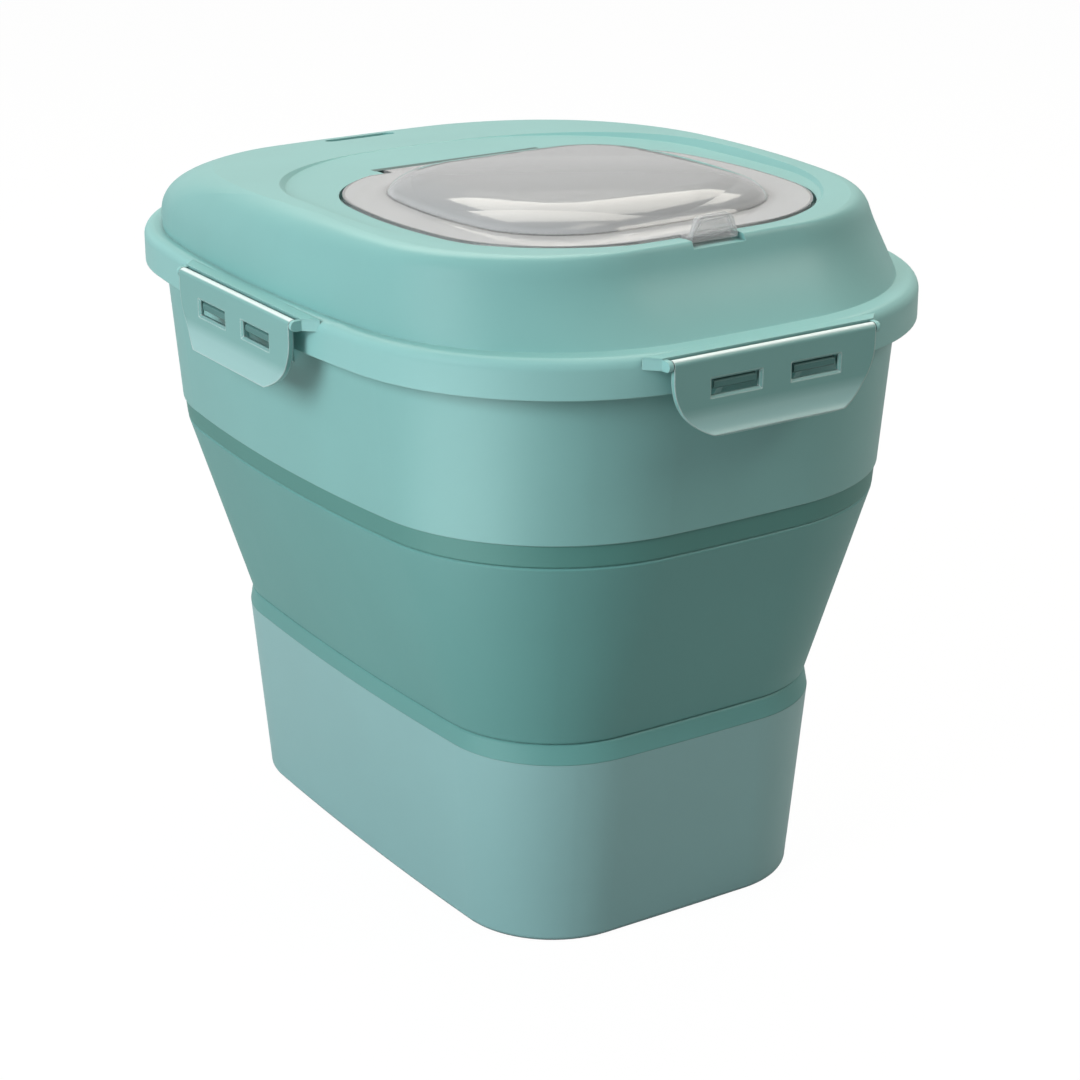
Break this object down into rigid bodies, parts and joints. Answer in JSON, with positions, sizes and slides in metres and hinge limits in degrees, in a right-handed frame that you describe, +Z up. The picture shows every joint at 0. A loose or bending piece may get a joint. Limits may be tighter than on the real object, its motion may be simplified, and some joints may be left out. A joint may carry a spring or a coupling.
{
  "type": "folding rice container",
  "caption": "Folding rice bin: rigid base tub and upper ring joined by a soft sloped wall that tucks in, with a snap-down domed lid, side latches and a clear flip hatch with a pull tab.",
  "frame": {"origin": "centre of the footprint on the floor, under the foot ring", "axes": "+Z up, -Y towards the side with the hatch tab, X across the narrow way"},
  "size_m": [0.3186, 0.4106, 0.3404],
  "materials": {
    "base_plastic": "satin blue-green polypropylene",
    "fold_soft": "matt soft thermoplastic rubber, a darker green",
    "body_plastic": "satin mint polypropylene",
    "latch_plastic": "satin mint polypropylene",
    "hatch_clear": "clear, polished",
    "seal_soft": "pale translucent silicone",
    "pin_plastic": "satin mint plastic"
  },
  "bodies": {
    "base": {"base_tub": "base_plastic"},
    "upper": {"upper_ring": "body_plastic", "fold_wall": "fold_soft"},
    "lid": {"lid_shell": "body_plastic", "lid_gasket": "seal_soft", "hatch_hinge_pin": "pin_plastic"},
    "hatch": {"hatch_cover": "hatch_clear", "hatch_seal": "seal_soft"},
    "front_latch": {"latch_front": "latch_plastic"},
    "right_latch": {"latch_right": "latch_plastic"},
    "back_latch": {"latch_back": "latch_plastic"},
    "left_latch": {"latch_left": "latch_plastic"}
  },
  "joints": [
    {"name": "collapse", "type": "slide", "parent": "base", "child": "upper", "axis": [0, 0, 1], "range_m": [-0.188, 0], "deforming": ["fold_wall"]},
    {"name": "lid_lift", "type": "slide", "parent": "upper", "child": "lid", "axis": [0, 0, 1], "range_m": [0, 0.05]},
    {"name": "hatch_flip", "type": "hinge", "parent": "lid", "child": "hatch", "pos_m": [0, 0.04794, 0.3236], "axis": [-1, 0, 0], "range_deg": [0, 105]},
    {"name": "latch_front_flip", "type": "hinge", "parent": "lid", "child": "front_latch", "pos_m": [0, -0.1994, 0.293], "axis": [-1, 0, 0], "range_deg": [0, 120]},
    {"name": "latch_right_flip", "type": "hinge", "parent": "lid", "child": "right_latch", "pos_m": [0.1534, 0, 0.293], "axis": [0, -1, 0], "range_deg": [0, 120]},
    {"name": "latch_back_flip", "type": "hinge", "parent": "lid", "child": "back_latch", "pos_m": [0, 0.1994, 0.293], "axis": [1, 0, 0], "range_deg": [0, 120]},
    {"name": "latch_left_flip", "type": "hinge", "parent": "lid", "child": "left_latch", "pos_m": [-0.1534, 0, 0.293], "axis": [0, 1, 0], "range_deg": [0, 120]}
  ],
  "couplings": [
    {"joint": "latch_front_flip", "follows": "lid_lift", "rad_per_m": 41.888},
    {"joint": "latch_right_flip", "follows": "lid_lift", "rad_per_m": 41.888},
    {"joint": "latch_back_flip", "follows": "lid_lift", "rad_per_m": 41.888},
    {"joint": "latch_left_flip", "follows": "lid_lift", "rad_per_m": 41.888}
  ]
}
